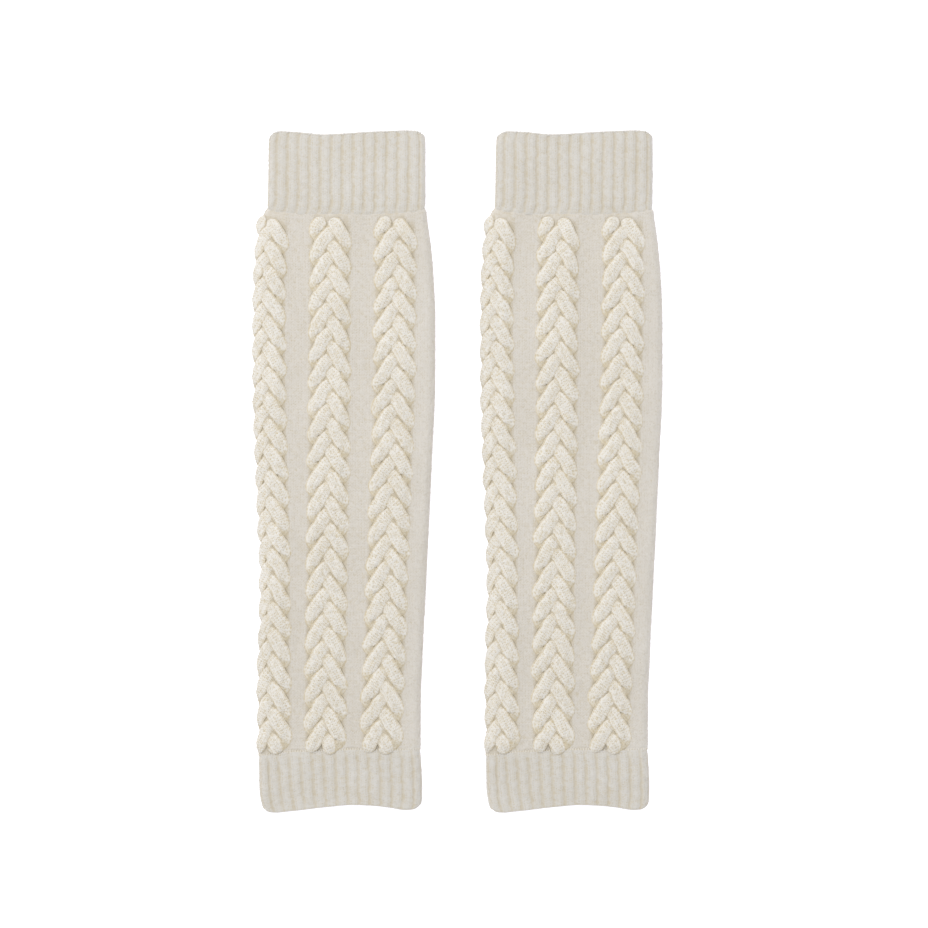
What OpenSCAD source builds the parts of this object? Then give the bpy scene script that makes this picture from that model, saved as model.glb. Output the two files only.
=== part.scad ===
// Pair of cable-knit fingerless gloves, laid flat side by side.
// Each glove is a straight knitted tube: a plain back panel, a front panel that
// carries three three-strand plaits, a ribbed upper cuff and a ribbed, hemmed
// lower cuff. X runs across the pair, Y runs from the lower cuffs to the upper
// cuffs, and Z is up from the surface the gloves lie on.

/* [Glove] */
// Length of one glove, from the hem's fold to the upper edge
glove_len = 380; // [340:2:420]
// Flat width, as a share of the nominal width
width_scale = 1; // [0.9:0.01:1.1]
// Distance between the centre lines of the two gloves
pair_pitch = 126.5; // [118:0.5:160]
// Height of the space between the two layers
hand_space = 5; // [4.8:0.1:7]

/* [Fabric] */
// Thickness of the plain knitted panels
panel_t = 1.8; // [1.2:0.1:2.2]
// Thickness of the ribbed cuffs, over their ridges
cuff_t = 2.2; // [1.8:0.1:2.4]

/* [Cuffs] */
// Height of the upper cuff
upper_cuff_h = 47; // [36:1:56]
// Height of the lower cuff
lower_cuff_h = 34; // [26:1:42]
// Distance from one rib to the next
rib_pitch = 6.2; // [5:0.1:8]
// Depth of the groove between two ribs
rib_depth = 0.8; // [0.3:0.1:1]
// Thickness of the hem's inner layer
facing_t = 0.7; // [0.5:0.1:0.9]

/* [Plaits] */
// Distance from one crossing of the strands to the next
crossing_pitch = 14.2; // [13:0.1:17]
// Width of a whole plait
plait_w = 23; // [20:0.5:24]
// Width of one strand
strand_w = 7; // [5:0.1:7.2]
// Thickness of one strand
strand_t = 1.6; // [1.2:0.1:1.6]
// How far a strand rises and dips as it goes over and under
strand_rise = 1.6; // [1.6:0.05:1.8]

/* [Hidden] */

WOOL = [0.86, 0.83, 0.77];
WOOL_GROUND = [0.83, 0.80, 0.74];
WOOL_PLAIT = [0.88, 0.85, 0.79];
YARN = [0.78, 0.74, 0.64];

// Tube's outline at rest: [share of the length, left edge, right edge]
OUTLINE = [
    [0.000, -43.5, 43.5], [0.012, -45.5, 45], [0.088, -46.5, 44.5],
    [0.110, -48, 43.5], [0.155, -49, 43.5], [0.215, -48.5, 44.5],
    [0.290, -47.2, 46], [0.370, -47.2, 47.2], [0.450, -48.4, 49],
    [0.530, -50, 50.5], [0.630, -51.5, 52], [0.740, -51.2, 51.6],
    [0.800, -49.8, 50.4], [0.850, -46.8, 48.6], [0.876, -43.4, 47.3],
    [0.990, -41.4, 47], [1.000, -39.5, 45]
];
L_TAB = [for (r = OUTLINE) [r[0], r[1]]];
R_TAB = [for (r = OUTLINE) [r[0], r[2]]];

// Centre lines of the plaits: [share of the length, centre]
EDGE_LINE = [[0.09, -35.5], [0.3, -36], [0.63, -39.6], [0.76, -39.4], [0.88, -35]];
CENTRE_LINE = [[0.09, -9.5], [0.3, -8.5], [0.5, -7.5], [0.88, -6]];
BAND_LINE = [[0.09, 22], [0.18, 22.8], [0.37, 25.8], [0.6, 28.8], [0.88, 30]];

// The model's ends and the ends of its sections along Y
y_end = glove_len / 2;
y_low = -y_end + lower_cuff_h;
y_up = y_end - upper_cuff_h;
link_w = 1.5;
fold_gap = 0.3;

// Layer heights
panel_top = 2 * panel_t + hand_space;
panel_r = panel_top / 2;
cuff_top = panel_top + 2 * (cuff_t - panel_t) - 0.2;
cuff_r = cuff_top / 2;
plait_z = panel_top + 0.25 + strand_rise + strand_t / 2;
strand_bank = 0.14;
sway = (plait_w - strand_w) / 2;

// The pair's centre lies midway between its outermost edges
x_min = min([for (r = OUTLINE) r[1]]) * width_scale;
x_max = max([for (r = OUTLINE) r[2]]) * width_scale + pair_pitch;
left_x = -(x_min + x_max) / 2;
right_x = left_x + pair_pitch;

function share(y) = (y + y_end) / glove_len;
function edge_l(y) = lookup(share(y), L_TAB) * width_scale;
function edge_r(y) = lookup(share(y), R_TAB) * width_scale;

// Stations along Y between two ends, at the outline's own rows
function stations(a, b) = concat([a],
    [for (r = OUTLINE) let (y = r[0] * glove_len - y_end) if (y > a + 1 && y < b - 1) y], [b]);

// Half of a flattened tube's wall, as a closed loop of [x, z] points
function arc(cx, cz, r, a0, a1, s, n) = [for (i = [0:n]) let (a = a0 + (a1 - a0) * i / n)
    [cx + r * cos(a), cz + s * r * sin(a)]];
function half_wall(l, r, rad, t, s) = let (n = 6) concat(
    arc(l + rad, rad, rad, 180, 90, s, n), arc(r - rad, rad, rad, 90, 0, s, n),
    arc(r - rad, rad, rad - t, 0, 90, s, n), arc(l + rad, rad, rad - t, 90, 180, s, n));
function turned(p, s) = s > 0 ? p : [for (i = [len(p) - 1:-1:0]) p[i]];

// One whole loop round a flattened tube, inset by d; ribs > 0 cuts grooves in its flats
function flat_row(l, r, n, g) = [for (i = [0:n - 1]) let (p = (r - l) / n, x = l + p * i)
    each [[x, g], [x + 0.22 * p, 0], [x + 0.78 * p, 0]]];
function loop_pts(l, r, rad, top, d, ribs, g) = let (
    a = l + rad, b = r - rad, n = 5,
    row = concat(flat_row(a, b, ribs, g), [[b, g]]),
    m = len(row))
    concat(
        [for (i = [0:m - 1]) [row[i][0], top - d - row[i][1]]],
        [for (i = [1:n - 1]) let (t = 90 - 180 * i / n) [b + (rad - d - g) * cos(t), rad + (rad - d - g) * sin(t)]],
        [for (i = [m - 1:-1:0]) [row[i][0], d + row[i][1]]],
        [for (i = [1:n - 1]) let (t = 270 - 180 * i / n) [a + (rad - d - g) * cos(t), rad + (rad - d - g) * sin(t)]]);

// Solid through equal closed loops of [x, z] points at the stations ys, clockwise
// from -Y. Point i of a loop faces point m - 1 - i across the wall.
module loft(loops, ys) {
    m = len(loops[0]);
    k = len(ys);
    polyhedron(
        points = [for (j = [0:k - 1]) for (p = loops[j]) [p[0], ys[j], p[1]]],
        faces = concat(
            [for (i = [0:m / 2 - 2]) let (c = m - 1 - i) each [[i, i + 1, c - 1], [i, c - 1, c]]],
            [for (i = [0:m / 2 - 2]) let (c = m - 1 - i, e = (k - 1) * m)
                each [[e + i, e + c - 1, e + i + 1], [e + i, e + c, e + c - 1]]],
            [for (j = [0:k - 2]) for (i = [0:m - 1]) let (a = j * m + i, b = j * m + (i + 1) % m)
                each [[a, a + m, b + m], [a, b + m, b]]]));
}

// Closed tube wall between outer and inner loops, which have the same number of points
module ring_loft(outer, inner, ys) {
    m = len(outer[0]);
    k = len(ys);
    s = 2 * m;
    polyhedron(
        points = [for (j = [0:k - 1]) each concat(
            [for (p = outer[j]) [p[0], ys[j], p[1]]], [for (p = inner[j]) [p[0], ys[j], p[1]]])],
        faces = concat(
            [for (i = [0:m - 1]) let (n = (i + 1) % m) each [[i, n, m + n], [i, m + n, m + i]]],
            [for (i = [0:m - 1]) let (n = (i + 1) % m, e = (k - 1) * s)
                each [[e + i, e + m + n, e + n], [e + i, e + m + i, e + m + n]]],
            [for (j = [0:k - 2]) for (i = [0:m - 1]) let (a = j * s + i, b = j * s + (i + 1) % m)
                each [[a, a + s, b + s], [a, b + s, b]]],
            [for (j = [0:k - 2]) for (i = [0:m - 1]) let (a = j * s + m + i, b = j * s + m + (i + 1) % m)
                each [[a, b + s, a + s], [a, b, b + s]]]));
}

// One knitted panel of the tube, with its edges turned towards the other panel
module panel(s) {
    ys = stations(y_low + fold_gap / 2 + link_w, y_up - fold_gap / 2 - link_w);
    loft([for (y = ys) turned(half_wall(edge_l(y), edge_r(y), panel_r, panel_t, s), s)], ys);
}

// The allowance of a side seam, inside the tube
module side_seam(side) {
    ys = stations(y_low + fold_gap / 2 + link_w, y_up - fold_gap / 2 - link_w);
    loft([for (y = ys) let (x = side < 0 ? edge_l(y) + panel_t + 0.15 : edge_r(y) - panel_t - 0.15 - 1.4)
        [[x, panel_r - 0.5], [x, panel_r + 0.5], [x + 1.4, panel_r + 0.5], [x + 1.4, panel_r - 0.5]]], ys);
}

// The row of linking stitches that closes one end of the tube
module linking(y0, y1) {
    ribs = 4;
    ring_loft(
        [for (y = [y0, y1]) loop_pts(edge_l(y) + 0.2, edge_r(y) - 0.2, panel_r, panel_top, 0.15, ribs, 0)],
        [for (y = [y0, y1]) loop_pts(edge_l(y) + 0.2, edge_r(y) - 0.2, panel_r, panel_top, panel_t - 0.1, ribs, 0)],
        [y0, y1]);
}

// A ribbed cuff from y0 to y1, t thick
module rib_cuff(y0, y1, t) {
    ys = stations(y0, y1);
    ribs = round((edge_r(0) - edge_l(0) - 2 * cuff_r) / rib_pitch) - 2;
    ring_loft(
        [for (y = ys) loop_pts(edge_l(y), edge_r(y), cuff_r, cuff_top, 0, ribs, rib_depth)],
        [for (y = ys) loop_pts(edge_l(y), edge_r(y), cuff_r, cuff_top, t, ribs, 0)],
        ys);
}

// The chain of bound-off stitches round the upper edge
module bind_off() {
    y0 = y_end - 1.2;
    ring_loft(
        [for (y = [y0, y_end]) loop_pts(edge_l(y0) + 0.3, edge_r(y0) - 0.3, cuff_r, cuff_top, 0.35, 4, 0)],
        [for (y = [y0, y_end]) loop_pts(edge_l(y0) + 0.3, edge_r(y0) - 0.3, cuff_r, cuff_top, cuff_t - 0.1, 4, 0)],
        [y0, y_end]);
}

// The hem's inner layer, folded up behind the lower cuff
module hem_facing() {
    ys = stations(-y_end + 3, y_low - fold_gap / 2);
    ring_loft(
        [for (y = ys) loop_pts(edge_l(y), edge_r(y), cuff_r, cuff_top, cuff_t - facing_t, 4, 0)],
        [for (y = ys) loop_pts(edge_l(y), edge_r(y), cuff_r, cuff_top, cuff_t, 4, 0)],
        ys);
}

// Strand k of a plait: it sways from side to side and goes over, then under, the others
function strand_phase(y, k) = 360 * ((y - y_low) / (3 * crossing_pitch)) + 120 * k;
function strand_x(line, y, k) = lookup(share(y), line) * width_scale + sway * sin(strand_phase(y, k));
function edge_drop(x, y) = 0.04 * pow(max(0, edge_l(y) + 7 - x), 2);
function strand_mid(line, y, k) = let (x = strand_x(line, y, k))
    [x, y, plait_z - strand_rise * sin(2 * strand_phase(y, k)) - edge_drop(x, y)];
module strand(line, k) {
    y0 = y_low + 4.5;
    y1 = y_up - 4.5;
    n = round((y1 - y0) / (crossing_pitch * 3 / 7));
    sides = 6;
    ring = [for (i = [0:n]) let (
            y = y0 + (y1 - y0) * i / n,
            c = strand_mid(line, y, k),
            ahead = strand_mid(line, y + 0.5, k) - strand_mid(line, y - 0.5, k),
            q = norm([ahead[0], ahead[1]]),
            u = [ahead[1] / q, -ahead[0] / q])
        for (j = [0:sides - 1]) let (
            a = 180 - 360 * j / sides, w = strand_w / 2 * cos(a),
            h = strand_t / 2 * sin(a) + strand_bank * cos(strand_phase(y, k)) * w)
            [c[0] + u[0] * w, c[1] + u[1] * w, c[2] + h]];
    polyhedron(points = ring, faces = concat(
        [[for (j = [0:sides - 1]) j]],
        [[for (j = [sides - 1:-1:0]) n * sides + j]],
        [for (i = [0:n - 1]) for (j = [0:sides - 1]) let (a = i * sides + j, b = i * sides + (j + 1) % sides)
            each [[a, a + sides, b + sides], [a, b + sides, b]]]));
}
module plait(line) { for (k = [0:2]) strand(line, k); }

module left() { translate([left_x, 0, 0]) children(); }
module right() { translate([right_x, 0, 0]) children(); }

module left_back_panel() { color(WOOL_GROUND) left() panel(-1); }
module left_front_panel() { color(WOOL_GROUND) left() panel(1); }
module left_edge_plait() { color(WOOL_PLAIT) left() plait(EDGE_LINE); }
module left_centre_plait() { color(WOOL_PLAIT) left() plait(CENTRE_LINE); }
module left_band_plait() { color(WOOL_PLAIT) left() plait(BAND_LINE); }
module left_edge_seam() { color(YARN) left() side_seam(-1); }
module left_band_seam() { color(YARN) left() side_seam(1); }
module left_upper_linking() { color(YARN) left() linking(y_up - fold_gap / 2 - link_w, y_up - fold_gap / 2); }
module left_lower_linking() { color(YARN) left() linking(y_low + fold_gap / 2, y_low + fold_gap / 2 + link_w); }
module left_upper_cuff() { color(WOOL) left() rib_cuff(y_up + fold_gap / 2, y_end - 1.2, cuff_t); }
module left_bind_off() { color(YARN) left() bind_off(); }
module left_lower_cuff() { color(WOOL) left() rib_cuff(-y_end, y_low - fold_gap / 2, cuff_t - facing_t); }
module left_hem_facing() { color(WOOL_GROUND) left() hem_facing(); }

module right_back_panel() { color(WOOL_GROUND) right() panel(-1); }
module right_front_panel() { color(WOOL_GROUND) right() panel(1); }
module right_edge_plait() { color(WOOL_PLAIT) right() plait(EDGE_LINE); }
module right_centre_plait() { color(WOOL_PLAIT) right() plait(CENTRE_LINE); }
module right_band_plait() { color(WOOL_PLAIT) right() plait(BAND_LINE); }
module right_edge_seam() { color(YARN) right() side_seam(-1); }
module right_band_seam() { color(YARN) right() side_seam(1); }
module right_upper_linking() { color(YARN) right() linking(y_up - fold_gap / 2 - link_w, y_up - fold_gap / 2); }
module right_lower_linking() { color(YARN) right() linking(y_low + fold_gap / 2, y_low + fold_gap / 2 + link_w); }
module right_upper_cuff() { color(WOOL) right() rib_cuff(y_up + fold_gap / 2, y_end - 1.2, cuff_t); }
module right_bind_off() { color(YARN) right() bind_off(); }
module right_lower_cuff() { color(WOOL) right() rib_cuff(-y_end, y_low - fold_gap / 2, cuff_t - facing_t); }
module right_hem_facing() { color(WOOL_GROUND) right() hem_facing(); }

left_back_panel();
left_front_panel();
left_edge_plait();
left_centre_plait();
left_band_plait();
left_edge_seam();
left_band_seam();
left_upper_linking();
left_lower_linking();
left_upper_cuff();
left_bind_off();
left_lower_cuff();
left_hem_facing();
right_back_panel();
right_front_panel();
right_edge_plait();
right_centre_plait();
right_band_plait();
right_edge_seam();
right_band_seam();
right_upper_linking();
right_lower_linking();
right_upper_cuff();
right_bind_off();
right_lower_cuff();
right_hem_facing();
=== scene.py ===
import math

import bpy
import numpy as np
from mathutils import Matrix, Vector


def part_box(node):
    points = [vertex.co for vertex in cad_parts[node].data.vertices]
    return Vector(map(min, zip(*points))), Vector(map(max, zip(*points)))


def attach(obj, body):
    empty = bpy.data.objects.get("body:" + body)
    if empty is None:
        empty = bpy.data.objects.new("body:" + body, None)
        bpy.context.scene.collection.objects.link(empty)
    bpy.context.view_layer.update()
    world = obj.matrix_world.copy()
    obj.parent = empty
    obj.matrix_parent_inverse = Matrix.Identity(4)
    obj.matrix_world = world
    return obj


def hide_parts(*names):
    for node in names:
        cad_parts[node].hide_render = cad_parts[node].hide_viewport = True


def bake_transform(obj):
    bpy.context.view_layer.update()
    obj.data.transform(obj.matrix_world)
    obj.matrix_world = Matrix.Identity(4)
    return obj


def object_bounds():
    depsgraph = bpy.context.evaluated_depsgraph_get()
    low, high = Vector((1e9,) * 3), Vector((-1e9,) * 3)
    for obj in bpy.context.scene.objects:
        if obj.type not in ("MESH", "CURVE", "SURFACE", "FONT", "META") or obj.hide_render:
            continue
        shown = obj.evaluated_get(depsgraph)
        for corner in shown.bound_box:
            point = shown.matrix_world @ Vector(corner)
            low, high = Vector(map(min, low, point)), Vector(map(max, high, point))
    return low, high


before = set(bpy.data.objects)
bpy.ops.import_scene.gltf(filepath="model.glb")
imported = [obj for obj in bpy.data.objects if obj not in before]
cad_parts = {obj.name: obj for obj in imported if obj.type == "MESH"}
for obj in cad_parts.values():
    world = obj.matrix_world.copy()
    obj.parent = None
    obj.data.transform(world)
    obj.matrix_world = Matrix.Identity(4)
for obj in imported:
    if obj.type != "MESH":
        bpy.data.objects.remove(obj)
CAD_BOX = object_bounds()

# ---------------------------------------------------------------- sizes, in millimetres
H = 8.6              # top of the ground knit above the floor
PANEL_T = 1.8
H_CUFF = 9.2         # top of the ribbed cuffs
CUFF_T = 2.2
WALE = 1.91          # ground stitch width
COURSE = 1.45        # ground stitch height
P_WALE = 1.72        # plait stitch width
P_COURSE = 1.43
RIB = 6.14
Y_UP, Y_LOW = 143.0, -156.0
PANEL_MID = 0.25     # the middle of a front panel's box, from the glove's centre line

CX = {}
for side in ("left", "right"):
    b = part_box(side + "_front_panel")
    CX[side] = round((b[0][0] + b[1][0]) * 500 - PANEL_MID, 2)


def hermite(table, col=1):
    """A smooth curve through a table's points, with no overshoot."""
    x = np.array([r[0] for r in table], float)
    y = np.array([r[col] for r in table], float)
    d = np.diff(y) / np.diff(x)
    m = np.zeros_like(y)
    m[1:-1] = np.where(d[:-1] * d[1:] > 0, 2 * d[:-1] * d[1:] / (d[:-1] + d[1:] + 1e-12), 0)
    m[0], m[-1] = d[0], d[-1]

    def f(v):
        v = np.clip(v, x[0], x[-1])
        i = np.clip(np.searchsorted(x, v) - 1, 0, len(x) - 2)
        h = x[i + 1] - x[i]
        t = (v - x[i]) / h
        return (
            (1 + 2 * t) * (1 - t) ** 2 * y[i]
            + t * (1 - t) ** 2 * h * m[i]
            + t * t * (3 - 2 * t) * y[i + 1]
            + t * t * (t - 1) * h * m[i + 1]
        )

    return f


def smooth(a, b, v):
    t = np.clip((v - a) / (b - a), 0, 1)
    return t * t * (3 - 2 * t)


# Width of the glove along its length: y, left side, right side, from the glove's centre line.
OUTLINE = [
    (-190, -42.9, 42.2), (-187, -44.2, 44.0), (-183, -45.2, 44.9), (-177, -46.0, 45.1), (-168, -46.2, 44.9),
    (-159, -46.4, 44.3), (-152, -47.4, 43.9), (-141, -48.1, 43.9), (-124, -48.4, 44.0),
    (-107, -48.0, 44.8), (-91, -47.1, 45.5), (-74, -46.2, 46.4), (-57, -46.2, 47.2),
    (-24, -47.6, 48.8), (9, -49.1, 50.3), (51, -50.6, 52.0), (84, -50.5, 52.0),
    (109, -49.9, 51.0), (125, -48.6, 49.6), (134, -46.8, 48.4), (142, -44.2, 47.3),
    (147, -42.0, 47.0), (156, -41.4, 47.1), (182, -41.0, 47.1), (185, -40.7, 46.9), (188, -39.8, 46.1), (190, -38.4, 44.8),
]
out_l = hermite(OUTLINE, 1)
out_r = hermite(OUTLINE, 2)
# The four lines across the glove: share of the width from the left, y.
upper_edge = hermite([(0, 186.6), (0.03, 188.3), (0.07, 188.9), (0.16, 188.5), (0.25, 187.8), (0.34, 187.1), (0.48, 187.6),
                      (0.61, 188.4), (0.75, 188.9), (0.87, 189.3), (0.95, 189.0), (1, 187.0)])
lower_edge = hermite([(0, -188.2), (0.03, -189.4), (0.08, -189.7), (0.14, -189.2), (0.25, -188.2), (0.41, -186.6), (0.57, -185.5),
                      (0.68, -185.8), (0.80, -186.9), (0.91, -188.2), (0.96, -187.9), (1, -186.0)])
upper_join = hermite([(0, 145.4), (0.1, 143.6), (0.3, 142.6), (0.6, 142.5), (0.9, 143.4), (1, 144.8)])
lower_join = hermite([(0, -158.2), (0.1, -157.2), (0.2, -156.2), (0.35, -155.6), (0.5, -155.0), (0.65, -154.8), (0.8, -155.1), (1, -154.5)])
# Plait centre lines.
LINES = {
    "edge_plait": hermite([(-156, -39.0), (-132, -39.5), (-94, -39.7), (-49, -40.0), (40, -42.1), (95, -42.4), (134, -40.7), (144, -39.3)]),
    "centre_plait": hermite([(-156, -9.2), (-132, -8.9), (-94, -8.6), (-49, -8.0), (40, -6.7), (95, -6.4), (134, -5.8), (144, -5.2)]),
    "band_plait": hermite([(-156, 22.2), (-132, 22.7), (-94, 24.4), (-49, 25.8), (40, 29.1), (95, 30.0), (134, 30.2), (144, 30.5)]),
}


def edges(y):
    """The tube's own sides: the edge plait wraps the left one, so the tube sits inside it."""
    inset = 3.5 * smooth(-154, -143, y) * (1 - smooth(128, 142, y))
    return out_l(y) + inset, out_r(y)


def tube(y, s, n, top=H, rs=None):
    """A point on a flattened tube: s round the section from the middle of its top, n out from the cloth."""
    xl, xr = edges(y)
    r = top / 2
    rs = r if rs is None else rs
    c = (xl + xr) / 2
    f = (xr - xl) / 2 - r
    a = np.abs(s)
    sg = np.where(s < 0, -1.0, 1.0)
    phi = np.clip((a - f) / rs, 0, math.pi)
    past = np.maximum(a - f - math.pi * rs, 0)
    x = c + sg * (np.minimum(a, f) - past + (r + n) * np.sin(phi))
    z = r + (r + n) * np.cos(phi)
    return x, z


def warp(x, y, z, seed):
    """The cloth lies a little unevenly. One field for every piece, so that layers stay apart."""
    xl, xr = edges(y)
    q = np.abs(x - (xl + xr) / 2) / ((xr - xl) / 2)
    lift = 1 - 0.05 * np.clip(q, 0, 1.1) ** 4
    lift += 0.022 * np.sin(x * 0.115 + 1.3 * seed + 0.7 * np.sin(y * 0.031 + seed)) * np.sin(y * 0.043 + 2.1 * seed)
    lift += 0.014 * np.sin(y * 0.092 + x * 0.05 + seed) + 0.010 * np.sin(x * 0.31 - y * 0.07 + 3 * seed)
    z2 = z * lift
    return x, y, np.maximum(z2, 0.06)


def quads(nr, nc, wrap_r=False, wrap_c=False):
    i = np.arange(nr if wrap_r else nr - 1)
    j = np.arange(nc if wrap_c else nc - 1)
    i, j = np.meshgrid(i, j, indexing="ij")
    i2, j2 = (i + 1) % nr, (j + 1) % nc
    return np.stack([i * nc + j, i * nc + j2, i2 * nc + j2, i2 * nc + j], -1).reshape(-1, 4)


def volume(v, q, t):
    tri = []
    if len(q):
        tri += [q[:, [0, 1, 2]], q[:, [0, 2, 3]]]
    if len(t):
        tri += [t]
    tri = np.concatenate(tri)
    a, b, c = v[tri[:, 0]], v[tri[:, 1]], v[tri[:, 2]]
    return float(np.einsum("ij,ij->i", a - v.mean(0), np.cross(b - v.mean(0), c - v.mean(0))).sum() / 6)


def build(name, v, q, t=None, cavity_shade=None, knit=None, material=None):
    """A mesh object from arrays: points in millimetres, quads, triangles."""
    v = np.asarray(v, float)
    q = np.asarray(q, np.int64).reshape(-1, 4)
    t = np.zeros((0, 3), np.int64) if t is None else np.asarray(t, np.int64).reshape(-1, 3)
    if volume(v, q, t) < 0:
        q, t = q[:, ::-1], t[:, ::-1]
    me = bpy.data.meshes.new(name)
    me.vertices.add(len(v))
    me.vertices.foreach_set("co", (v * 0.001).astype(np.float32).ravel())
    loops = np.concatenate([q.ravel(), t.ravel()]).astype(np.int32)
    me.loops.add(len(loops))
    me.loops.foreach_set("vertex_index", loops)
    starts = np.concatenate([np.arange(len(q)) * 4, len(q) * 4 + np.arange(len(t)) * 3]).astype(np.int32)
    me.polygons.add(len(starts))
    me.polygons.foreach_set("loop_start", starts)
    me.update(calc_edges=True)
    me.validate()
    me.shade_smooth()
    # painted shade: a per-point amount of darkening, highest in stitch valleys, grooves, under crossings and along
    # strand sides
    for key, val in (("cavity_shade", cavity_shade), ("knit", knit)):
        if val is None:
            continue
        if key == "cavity_shade":
            at = me.attributes.new("cavity_shade", "FLOAT", "POINT")
            at.data.foreach_set("value", np.clip(np.asarray(val, float), 0, 1).astype(np.float32).ravel())
        else:
            at = me.attributes.new("knit", "FLOAT_VECTOR", "POINT")
            at.data.foreach_set("vector", np.asarray(val, float).astype(np.float32).ravel())
    ob = bpy.data.objects.new(name, me)
    bpy.context.scene.collection.objects.link(ob)
    if material is not None:
        me.materials.append(material)
    return ob


# ---------------------------------------------------------------- wool
def srgb(r, g, b):
    def lin(c):
        c /= 255
        return c / 12.92 if c <= 0.04045 else ((c + 0.055) / 1.055) ** 2.4
    return (lin(r), lin(g), lin(b), 1)


def wool(name, light, shade_colour, mottle, fuzz, sheen, rough, knit_scale, bump, cell, shade_spot):
    m = bpy.data.materials.new(name)
    m.use_nodes = True
    nt = m.node_tree
    nt.nodes.clear()
    N, L = nt.nodes.new, nt.links.new
    out = N("ShaderNodeOutputMaterial")
    p = N("ShaderNodeBsdfPrincipled")
    L(p.outputs[0], out.inputs[0])
    p.inputs["Sheen Weight"].default_value = sheen
    p.inputs["Sheen Roughness"].default_value = 0.45
    p.inputs["Sheen Tint"].default_value = (1.0, 0.985, 0.95, 1)
    p.inputs["Specular IOR Level"].default_value = 0.18
    # a faint painted glow stands in for light scattered inside the yarn, which keeps its crevices from going black
    p.inputs["Emission Color"].default_value = (0.80, 0.70, 0.48, 1)
    p.inputs["Emission Strength"].default_value = 0.05
    cavity_shade = N("ShaderNodeAttribute"); cavity_shade.attribute_name = "cavity_shade"
    kn = N("ShaderNodeAttribute"); kn.attribute_name = "knit"
    co = N("ShaderNodeTexCoord")
    # slow changes of tone over the whole glove
    big = N("ShaderNodeTexNoise"); big.inputs["Scale"].default_value = 38; big.inputs["Detail"].default_value = 3
    L(co.outputs["Object"], big.inputs["Vector"])
    # stitch to stitch mottling of the spun yarn
    mid = N("ShaderNodeTexNoise"); mid.inputs["Scale"].default_value = 520; mid.inputs["Detail"].default_value = 2.5
    L(co.outputs["Object"], mid.inputs["Vector"])
    # fibres, long in the yarn's direction
    mp = N("ShaderNodeMapping"); mp.inputs["Scale"].default_value = knit_scale
    L(kn.outputs["Vector"], mp.inputs["Vector"])
    fib = N("ShaderNodeTexNoise"); fib.inputs["Scale"].default_value = 1.0; fib.inputs["Detail"].default_value = 4; fib.inputs["Roughness"].default_value = 0.62
    fib.inputs["Distortion"].default_value = 0.6
    L(mp.outputs[0], fib.inputs["Vector"])
    hair = N("ShaderNodeTexNoise"); hair.inputs["Scale"].default_value = 2600; hair.inputs["Detail"].default_value = 2
    L(co.outputs["Object"], hair.inputs["Vector"])

    def mr(src, lo, hi, a, b):
        n = N("ShaderNodeMapRange")
        n.inputs["From Min"].default_value = lo; n.inputs["From Max"].default_value = hi
        n.inputs["To Min"].default_value = a; n.inputs["To Max"].default_value = b
        L(src, n.inputs["Value"])
        return n.outputs["Result"]

    def math_(op, a, b):
        n = N("ShaderNodeMath"); n.operation = op
        for i, s in enumerate((a, b)):
            if isinstance(s, (int, float)):
                n.inputs[i].default_value = s
            else:
                L(s, n.inputs[i])
        return n.outputs[0]

    # painted shade: the cavity attribute plus random mottling, fibre noise and hole spots drives a ramp from the wool's
    # own colour to a tan shade colour
    depth = math_("ADD", cavity_shade.outputs["Fac"], mr(mid.outputs["Fac"], 0.3, 0.7, -mottle, mottle))
    depth = math_("ADD", depth, mr(fib.outputs["Fac"], 0.3, 0.7, -0.05, 0.05))
    # painted shade: dark spots in the holes where one stitch draws through the next; the same spots dip the bump too
    grid = N("ShaderNodeMapping"); grid.inputs["Scale"].default_value = (1 / cell[0], 1 / cell[1], 1.0)
    L(kn.outputs["Vector"], grid.inputs["Vector"])
    shade_dots = N("ShaderNodeTexVoronoi"); shade_dots.voronoi_dimensions = "2D"; shade_dots.inputs["Scale"].default_value = 1.0
    shade_dots.inputs["Randomness"].default_value = 0.62
    L(grid.outputs[0], shade_dots.inputs["Vector"])
    hole = math_("MULTIPLY", mr(shade_dots.outputs["Distance"], 0.10, 0.44, shade_spot, 0.0), mr(mid.outputs["Fac"], 0.35, 0.62, 0.35, 1.25))
    depth = math_("ADD", depth, hole)
    ramp = N("ShaderNodeValToRGB")
    ramp.color_ramp.interpolation = "B_SPLINE"
    e = ramp.color_ramp.elements
    e[0].position = 0.0; e[0].color = light
    e[1].position = 1.0; e[1].color = shade_colour
    k = e.new(0.42)
    k.color = tuple(0.72 * light[i] + 0.28 * shade_colour[i] for i in range(3)) + (1,)
    L(depth, ramp.inputs["Fac"])
    tone = N("ShaderNodeMix"); tone.data_type = "RGBA"; tone.blend_type = "MULTIPLY"
    tone.inputs["Factor"].default_value = 1.0
    t2 = N("ShaderNodeMix"); t2.data_type = "RGBA"
    t2.inputs[6].default_value = (0.955, 0.95, 0.94, 1); t2.inputs[7].default_value = (1.0, 1.0, 1.0, 1)
    L(mr(big.outputs["Fac"], 0.32, 0.68, 0, 1), t2.inputs["Factor"])
    L(ramp.outputs["Color"], tone.inputs[6]); L(t2.outputs[2], tone.inputs[7])
    L(tone.outputs[2], p.inputs["Base Color"])
    L(math_("ADD", mr(hair.outputs["Fac"], 0.3, 0.7, rough - 0.05, rough + 0.04), 0.0), p.inputs["Roughness"])
    h = math_("ADD", math_("MULTIPLY", fib.outputs["Fac"], 0.7), math_("MULTIPLY", hair.outputs["Fac"], 0.5))
    h = math_("SUBTRACT", h, math_("MULTIPLY", hole, 1.2))
    b = N("ShaderNodeBump"); b.inputs["Strength"].default_value = fuzz; b.inputs["Distance"].default_value = bump
    L(h, b.inputs["Height"]); L(b.outputs[0], p.inputs["Normal"])
    return m


# painted shade colours: the tans that crevices, holes and undersides of the wool are tinted towards
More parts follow.
